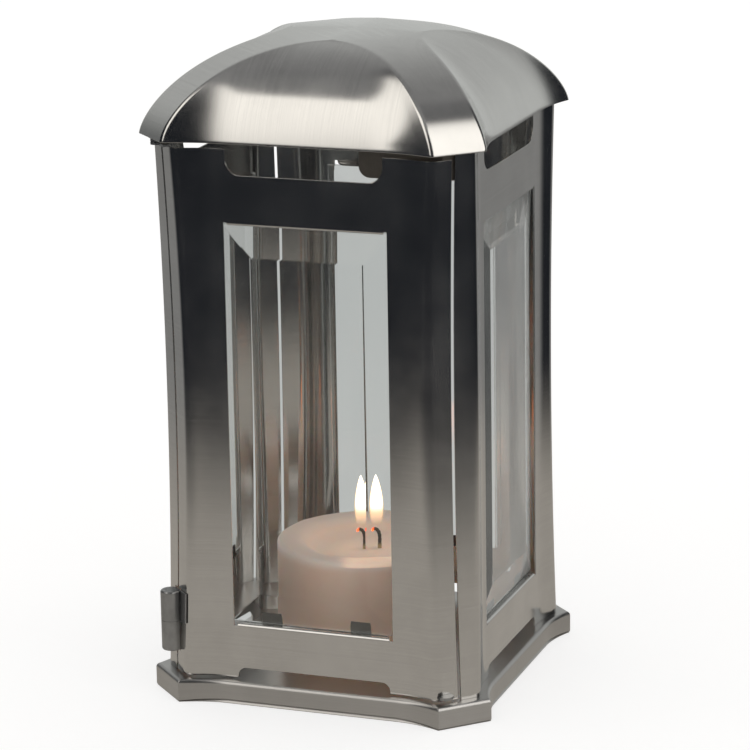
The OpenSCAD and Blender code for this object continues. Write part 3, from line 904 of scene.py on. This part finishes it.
def roof_rings(inwards, levels=56, domes=10):
    """Rings from the eave to the face tops, then over the crown."""
    rings = []
    for i in range(levels, -1, -1):
        c = CROWN_C + (CORNER_HALF - CROWN_C) * math.sin(math.radians(90 * i / levels))
        out = crease_out(c)
        s = (c + out) / ROOT2
        slope = EAVE_SLOPE if i == levels else hip_slope(s)
        k = math.sqrt(1 + slope * slope)
        d = -inwards * slope / k
        z = max(EAVE, EAVE + hip_h(s) - inwards / k)
        rings.append(roof_ring(c - d * (ROOT2 - 1), out - d, z, face_inset(c / CORNER_HALF)))
    top = roof_ring(CROWN_C, crease_out(CROWN_C), 0.0, 0.0)
    for i in range(1, domes + 1):
        f = 1 - i / (domes + 1)
        rings.append([Vector((p.x * f, p.y * f, crown_z(f) - inwards)) for p in top])
    return rings


def make_roof():
    inner, outer = roof_rings(ROOF_SHEET), roof_rings(0.0)
    rings = inner[::-1] + outer
    count = len(outer[0])
    points = [p for ring in rings for p in ring]
    faces = rows_of_faces(len(rings), count)
    points += [Vector((0, 0, crown_z(0) - ROOF_SHEET)), Vector((0, 0, crown_z(0)))]
    under, over = len(points) - 2, len(points) - 1
    last = (len(rings) - 1) * count
    faces += [(i, under, (i + 1) % count) for i in range(count)]
    faces += [(last + i, last + (i + 1) % count, over) for i in range(count)]
    roof = new_piece("roof_shell", points, faces, roof_steel, "frame", ["roof"], 30.0)
    add_grain(roof, [roof_grain(p) for p in points])
    soften(roof, 0.2, 2, 60.0)


def roof_grain(p):
    """Brush coordinates on the roof: across the lines, round the axis, and along the slope."""
    across, outwards = (p[0], p[1]) if abs(p[1]) >= abs(p[0]) else (p[1], p[0])
    return across, abs(outwards)


# ---------------------------------------------------------------- candle

def make_candle():
    """Pillar with a soft shoulder, a wide sloping rim and a hollow, slightly uneven all round."""
    shoulder, foot_round, rim_drop = 2.2, 1.2, 2.4
    pool_low = CANDLE_HIGH - POOL_DEPTH
    profile = [(0.5, CANDLE_LOW), (CANDLE_R - foot_round, CANDLE_LOW)]
    profile += arc(CANDLE_R - foot_round, CANDLE_LOW + foot_round, foot_round, -90, 0, 4)
    profile += [(CANDLE_R, CANDLE_LOW + (CANDLE_HIGH - shoulder - CANDLE_LOW) * t)
                for t in (0.2, 0.4, 0.6, 0.8)]
    profile += arc(CANDLE_R - shoulder, CANDLE_HIGH - shoulder, shoulder, 0, 90, 8)
    rim_w, slope_steps = CANDLE_R - shoulder - POOL_R, 12
    for i in range(1, slope_steps + 1):
        t = i / slope_steps
        profile.append((CANDLE_R - shoulder - rim_w * t, CANDLE_HIGH - rim_drop * t ** 3))
    for i in range(1, slope_steps + 1):
        t = i / slope_steps
        drop = rim_drop + (POOL_DEPTH - rim_drop) * (1 - (1 - t) ** 2.2)
        profile.append((POOL_R - 9.0 * t, CANDLE_HIGH - drop))
    profile += [(12.0, pool_low), (2.5, pool_low + 0.15), (1.2, pool_low + 0.7), (0.5, pool_low + 0.8)]
    steps = 144
    points = [Vector(p) for p in lathe(profile, steps)]
    for p in points:
        radial = Vector((p.x, p.y, 0)).normalized()
        if p.z > CANDLE_LOW + 3:
            wobble = noise.noise(p * 0.06) * 0.28 + noise.noise(p * 0.21) * 0.08
            p -= radial * abs(wobble)
            if p.z > CANDLE_HIGH - 3:
                p.z -= abs(noise.noise(radial * 1.7)) * 0.8
    faces = closed_rows(len(profile), steps)
    new_piece("pillar_candle", points, faces, wax, "candle", ["candle"], 60.0)


def make_wick():
    """Braided wick that leans and hooks over at its tip."""
    path = [(0.0, 0.0), (0.1, 2.5), (0.2, 5.0), (0.15, 7.0), (-0.3, 8.6), (-1.2, 9.6),
            (-2.2, 9.9), (-3.0, 9.5), (-3.4, 8.7)]
    radii = [0.95, 0.8, 0.75, 0.75, 0.75, 0.72, 0.7, 0.6, 0.4]
    sides, fine = 20, 6
    stations = []
    path = [Vector((x, 0, z)) for x, z in path]
    for a, b, ra, rb in zip(path, path[1:], radii, radii[1:]):
        for k in range(fine):
            t = k / fine
            stations.append((a.lerp(b, t), ra + (rb - ra) * t))
    stations.append((path[-1], radii[-1]))
    points = []
    for n, (at, radius) in enumerate(stations):
        ahead = stations[min(n + 1, len(stations) - 1)][0] - stations[max(n - 1, 0)][0]
        side = Vector((0, 1, 0))
        other = ahead.normalized().cross(side)
        for i in range(sides):
            a = 2 * math.pi * i / sides
            braid = 1 + 0.14 * math.cos(3 * a + n * 0.55) * math.cos(3 * a - n * 0.55)
            spot = at + (side * math.cos(a) + other * math.sin(a)) * radius * braid
            points.append(spot + Vector((0, 0, WICK_LOW)))
    faces = closed_rows(len(stations), sides)
    new_piece("wick_braid", points, faces, cotton, "candle", ["wick"], 60.0)


def make_flame():
    """Tall drop of flame over the wick's tip, leaning a little to the left."""
    tall = FLAME_HIGH - FLAME_LOW
    rows, sides = 30, 32
    points = []
    for j in range(rows + 1):
        t = j / rows
        radius = FLAME_R * t ** 0.5 * (1 - t) ** 0.8 / FLAME_PEAK + 0.02
        lean = -1.3 + 0.5 * t - 0.4 * t * t
        for i in range(sides):
            a = 2 * math.pi * i / sides
            points.append((lean + radius * math.cos(a), radius * 0.9 * math.sin(a),
                           FLAME_LOW + tall * t))
    faces = closed_rows(rows + 1, sides)
    flame = new_piece("flame", points, faces, burning, "candle", sharp=80.0)
    flame.visible_shadow = False
    flame.visible_diffuse = False
    lamp = bpy.data.lights.new("flame_light", "POINT")
    lamp.energy = 0.01
    lamp.color = (1.0, 0.66, 0.42)
    lamp.shadow_soft_size = 0.004
    light = bpy.data.objects.new("flame_light", lamp)
    light.visible_camera = light.visible_glossy = light.visible_transmission = False
    light.location = Vector((-1.2, 0.0, FLAME_LOW + tall * 0.5)) * MM
    bpy.context.scene.collection.objects.link(light)
    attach(light, "candle")


# ---------------------------------------------------------------- studio

FLOOR_SIZE = 6.0
NEAR_FLOOR = (0.412, 0.386, 0.347)            # what the steel mirrors of the lit table
DARK_ROOM = (0.012, 0.014, 0.018)             # the dark room in front and to the right
FAR_BEHIND = (0.25, 0.25, 0.245)              # the table far behind the lantern
BACKDROP = (0.60, 0.615, 0.60)                # the grey backdrop behind the lantern
OVERHEAD = (0.25, 0.25, 0.25)
ROOM_LIGHT = (0.85, 0.85 * 0.985, 0.85 * 0.965)  # what lights the lantern from all round
SOFTBOX = (1.42, 1.37, 1.28)
RIGHT_SOFTBOX = (1.54, 1.50, 1.42)
THROUGH = (0.533, 0.548, 0.540)               # what is seen through the panes


def direction_angles(tree, vector):
    """Azimuth from the front, positive to the right, and elevation, both in degrees."""
    parts = add_node(tree, "ShaderNodeSeparateXYZ", {0: vector}).outputs
    front = calc(tree, "MULTIPLY", parts["Y"], -1.0)
    azimuth = calc(tree, "DEGREES", calc(tree, "ARCTAN2", parts["X"], front))
    elevation = calc(tree, "DEGREES", calc(tree, "ARCSINE", parts["Z"]))
    return azimuth, elevation


def behind_lantern(tree, azimuth):
    """1 towards the backdrop behind the lantern, and 0 elsewhere."""
    return calc(tree, "MAXIMUM", ramp(tree, azimuth, 136.0, 152.0),
                ramp(tree, azimuth, -104.0, -124.0))


def left_softbox(tree, azimuth, elevation):
    """1 on the tall softbox in front and to the left, which is wider towards its top."""
    rise = ramp(tree, elevation, 16.0, 59.0, kind="LINEAR")
    reach = calc(tree, "MULTIPLY_ADD", calc(tree, "POWER", rise, 1.3), 65.0, 32.0)
    left = ramp(tree, calc(tree, "DIVIDE", azimuth, reach), -1.09, -0.91)
    right = ramp(tree, azimuth, -6.0, -24.0)
    top = ramp(tree, azimuth, -48.0, -28.0, 61.8, 69.0)
    under = ramp(tree, calc(tree, "DIVIDE", elevation, top), 0.965, 1.035, 1.0, 0.0)
    over = ramp(tree, elevation, 4.0, 7.0)
    return calc(tree, "MULTIPLY", calc(tree, "MULTIPLY", left, right),
                calc(tree, "MULTIPLY", under, over))


def right_softbox(tree, azimuth, elevation):
    """1 on the softbox to the right."""
    return calc(tree, "MULTIPLY", between(tree, elevation, 5.0, 63.0, 2.5),
                between(tree, azimuth, 50.0, 104.0, 4.0))


def kinds_of_ray(tree):
    """1 for rays from the camera, from a mirror-like surface, and straight through the panes."""
    path = add_node(tree, "ShaderNodeLightPath").outputs
    unmirrored = calc(tree, "LESS_THAN", path["Glossy Depth"], 0.5)
    through = calc(tree, "MULTIPLY", path["Is Transmission Ray"], unmirrored)
    mirrored = calc(tree, "MAXIMUM", path["Is Glossy Ray"], path["Is Transmission Ray"])
    return path["Is Camera Ray"], mirrored, through


def make_world():
    """White to the camera; round the lantern two softboxes, a dark room and a grey backdrop."""
    world = bpy.data.worlds.new("studio")
    bpy.context.scene.world = world
    world.use_nodes = True
    world.cycles.sampling_method = "NONE"
    tree = world.node_tree
    tree.nodes.clear()
    where = add_node(tree, "ShaderNodeTexCoord").outputs["Generated"]
    azimuth, elevation = direction_angles(tree, where)
    ceiling = ramp(tree, elevation, 45.0, 75.0)
    room = mix_colour(tree, ceiling, DARK_ROOM, OVERHEAD)
    fading = ramp(tree, elevation, 8.0, 62.0, kind="LINEAR")
    backdrop = mix_colour(tree, fading, BACKDROP, OVERHEAD)
    room = mix_colour(tree, behind_lantern(tree, azimuth), room, backdrop)
    mirrored = mix_colour(tree, left_softbox(tree, azimuth, elevation), room, SOFTBOX)
    mirrored = mix_colour(tree, right_softbox(tree, azimuth, elevation), mirrored,
                          RIGHT_SOFTBOX)
    camera, glossy, through = kinds_of_ray(tree)
    colour = mix_colour(tree, glossy, ROOM_LIGHT, mirrored)
    colour = mix_colour(tree, through, colour, THROUGH)
    colour = mix_colour(tree, camera, colour, grey(1.0))
    sky = add_node(tree, "ShaderNodeBackground", {"Color": colour, "Strength": 1.0})
    add_node(tree, "ShaderNodeOutputWorld", {"Surface": sky})


def floor_material():
    """Pale table top. The steel mirrors a painted reflection of it, bright near the lantern and dark
    far in front of it.
    """
    made, tree = new_material("pale_floor")
    where = add_node(tree, "ShaderNodeTexCoord").outputs["Object"]
    away = add_node(tree, "ShaderNodeVectorMath", {0: where}, operation="LENGTH").outputs["Value"]
    azimuth, _ = direction_angles(tree, where)
    behind = calc(tree, "MAXIMUM", ramp(tree, azimuth, 134.0, 150.0),
                  ramp(tree, azimuth, -70.0, -105.0))
    far = mix_colour(tree, behind, DARK_ROOM, FAR_BEHIND)
    mirrored = mix_colour(tree, ramp(tree, away, 0.29, 0.59), NEAR_FLOOR, far)
    lit = add_node(tree, "ShaderNodeBsdfDiffuse", {"Color": grey(0.45)})
    white = add_node(tree, "ShaderNodeEmission", {"Color": grey(1.0), "Strength": 0.64})
    table = add_node(tree, "ShaderNodeAddShader", {0: lit, 1: white})
    _, glossy, through = kinds_of_ray(tree)
    shown = mix_colour(tree, through, mirrored, THROUGH)
    glow = add_node(tree, "ShaderNodeEmission", {"Color": shown, "Strength": 1.0})
    both = add_node(tree, "ShaderNodeMixShader", {0: glossy, 1: table, 2: glow})
    finish_material(tree, both)
    return made


def make_floor():
    half = FLOOR_SIZE / 2 / MM
    mesh = bpy.data.meshes.new("floor")
    corners = [(-half, -half, 0), (half, -half, 0), (half, half, 0), (-half, half, 0)]
    mesh.from_pydata([Vector(p) * MM for p in corners], [], [(0, 1, 2, 3)])
    mesh.materials.append(floor_material())
    floor = bpy.data.objects.new("floor", mesh)
    bpy.context.scene.collection.objects.link(floor)


def make_camera():
    """Camera of the photograph: a long lens, above and to the right of the front."""
    azimuth, elevation, roll = math.radians(19.745), math.radians(14.726), math.radians(-0.939)
    distance, aim = 1552.22, Vector((6.183, 0.0, 146.573))
    back = Vector((math.sin(azimuth) * math.cos(elevation),
                   -math.cos(azimuth) * math.cos(elevation), math.sin(elevation)))
    right = (-back).cross(Vector((0, 0, 1))).normalized()
    above = right.cross(-back)
    across = right * math.cos(roll) + above * math.sin(roll)
    upwards = above * math.cos(roll) - right * math.sin(roll)
    camera = bpy.data.objects.new("camera", bpy.data.cameras.new("camera"))
    camera.data.sensor_width = 36.0
    camera.data.lens = 164.487
    camera.data.shift_y = -0.02872
    camera.data.clip_end = 50.0
    place = Matrix((across, upwards, back)).transposed().to_4x4()
    place.translation = (aim + back * distance) * MM
    camera.matrix_world = place
    bpy.context.scene.collection.objects.link(camera)
    bpy.context.scene.camera = camera


# ---------------------------------------------------------------- the whole lantern

make_tray()
make_pan()
make_panels()
make_panes()
make_all_clips()
make_knuckle("hinge_barrel_low", "hinge_frame_knuckle", "frame", -1, -1)
make_knuckle("hinge_barrel_high", "hinge_door_knuckle", "door", 1, 1)
make_stop()
make_roof()
make_candle()
make_wick()
make_flame()

for node in ("hinge_pin", "pivot_bracket", "pivot_pin", "door_pivot_lug", "door_pull"):
    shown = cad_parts[node]
    shown.data.materials.clear()
    shown.data.materials.append(fitting_steel)

make_world()
make_floor()
make_camera()
bpy.context.scene.view_settings.view_transform = "Standard"
